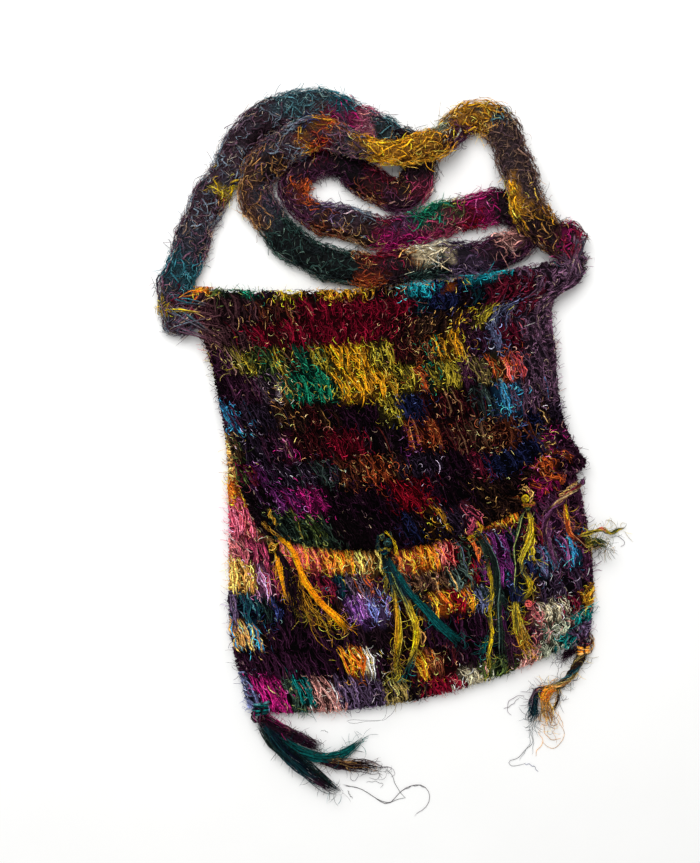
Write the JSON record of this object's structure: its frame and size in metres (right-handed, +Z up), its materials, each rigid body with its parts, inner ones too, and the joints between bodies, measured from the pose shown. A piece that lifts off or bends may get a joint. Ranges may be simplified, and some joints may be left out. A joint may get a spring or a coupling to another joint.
{
  "type": "crochet handbag",
  "caption": "Soft crochet shoulder bag lying on its back, with a fold-over flap, a long knitted strap laid in loops above it and yarn tassels on the hem and corners.",
  "frame": {"origin": "on the surface the bag lies on, under the middle of the pouch, in the flat underside of the back panel", "axes": "+Z up out of the bag's face, +Y towards the bag's top fold, +X to the right seen from above"},
  "size_m": [0.3506, 0.5295, 0.0285],
  "materials": {
    "pouch_yarn": "fuzzy variegated yarn",
    "flap_yarn": "fuzzy variegated yarn",
    "strap_yarn": "fuzzy variegated yarn",
    "tassel_yarn": "loose variegated yarn"
  },
  "bodies": {
    "root": {"back_panel": "pouch_yarn", "front_panel": "pouch_yarn", "flap": "flap_yarn", "strap": "strap_yarn", "hem_tassel_1": "tassel_yarn", "hem_tassel_2": "tassel_yarn", "hem_tassel_3": "tassel_yarn", "hem_tassel_4": "tassel_yarn", "hem_tassel_5": "tassel_yarn", "corner_tassel_left": "tassel_yarn", "corner_tassel_right": "tassel_yarn"}
  },
  "joints": []
}
